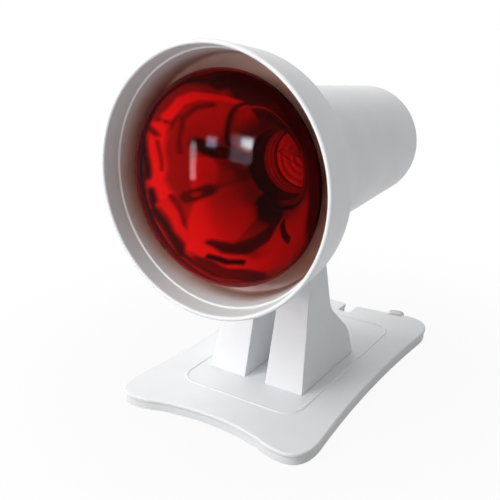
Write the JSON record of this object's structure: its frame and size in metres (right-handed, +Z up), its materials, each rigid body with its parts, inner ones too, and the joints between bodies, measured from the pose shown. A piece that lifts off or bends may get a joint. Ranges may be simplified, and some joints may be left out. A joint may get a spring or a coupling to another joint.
{
  "type": "infrared heat therapy lamp",
  "caption": "Table lamp for heat therapy: a red reflector bulb in a deep round shade and tapered can that tilts between two arms on a flat waisted base.",
  "frame": {"origin": "on the table under the middle of the lamp's bounding box", "axes": "+Z up, the lamp shines towards -Y, +X to the lamp's left side as it faces its user, which is the right side of a front view"},
  "size_m": [0.12, 0.1714, 0.1787],
  "materials": {
    "white_plastic": "satin",
    "grey_plastic": "matte",
    "black_rubber": "matte",
    "grey_rubber": "matte",
    "zinc_steel": "satin",
    "nickel_brass": "satin",
    "white_porcelain": "gloss",
    "ruby_glass": "gloss",
    "silver_mirror": "mirror",
    "bulb_cap_aluminium": "satin",
    "black_glass": "gloss",
    "clear_glass": "gloss",
    "tungsten_wire": "satin",
    "brown_insulation": "matte",
    "blue_insulation": "matte"
  },
  "bodies": {
    "stand": {"base_cover": "white_plastic", "base_plate": "grey_plastic", "foot_pad_1": "black_rubber", "foot_pad_2": "black_rubber", "foot_pad_3": "black_rubber", "foot_pad_4": "black_rubber", "base_screw_1": "zinc_steel", "base_screw_2": "zinc_steel", "base_screw_3": "zinc_steel", "base_screw_4": "zinc_steel", "cord_gland": "grey_rubber", "live_lead_lower": "brown_insulation", "neutral_lead_lower": "blue_insulation", "left_arm": "white_plastic", "right_arm": "white_plastic", "arm_screw_1": "zinc_steel", "arm_screw_2": "zinc_steel", "arm_screw_3": "zinc_steel", "arm_screw_4": "zinc_steel", "left_washer": "zinc_steel", "right_washer": "zinc_steel"},
    "head": {"tilt_lug": "white_plastic", "shade": "white_plastic", "rear_can": "white_plastic", "rear_cover": "white_plastic", "pivot_bolt": "zinc_steel", "retaining_ring": "zinc_steel", "lug_screw_front": "zinc_steel", "lug_screw_back": "zinc_steel", "cover_screw_1": "zinc_steel", "cover_screw_2": "zinc_steel", "holder_screw_1": "zinc_steel", "holder_screw_2": "zinc_steel", "bracket_screw_1": "zinc_steel", "bracket_screw_2": "zinc_steel", "terminal_screw_1": "zinc_steel", "terminal_screw_2": "zinc_steel", "holder_bracket": "zinc_steel", "pivot_insert": "nickel_brass", "pivot_tube": "nickel_brass", "screw_shell": "nickel_brass", "contact_spring": "nickel_brass", "lamp_holder": "white_porcelain", "live_lead_upper": "brown_insulation", "neutral_lead_upper": "blue_insulation"},
    "bulb": {"bulb_glass": "ruby_glass", "bulb_mirror": "silver_mirror", "bulb_cap": "bulb_cap_aluminium", "cap_insulator": "black_glass", "cap_contact": "nickel_brass", "heat_disc": "bulb_cap_aluminium", "bulb_stem": "clear_glass", "filament_post_left": "zinc_steel", "filament_post_right": "zinc_steel", "filament": "tungsten_wire"}
  },
  "joints": [
    {"name": "head_tilt", "type": "hinge", "parent": "stand", "child": "head", "pos_m": [0, -0.01581, 0.067], "axis": [-1, 0, 0], "range_deg": [-12, 36]},
    {"name": "bulb_out", "type": "slide", "parent": "head", "child": "bulb", "axis": [0, -0.9984, 0.0558], "range_m": [0, 0.14]}
  ]
}
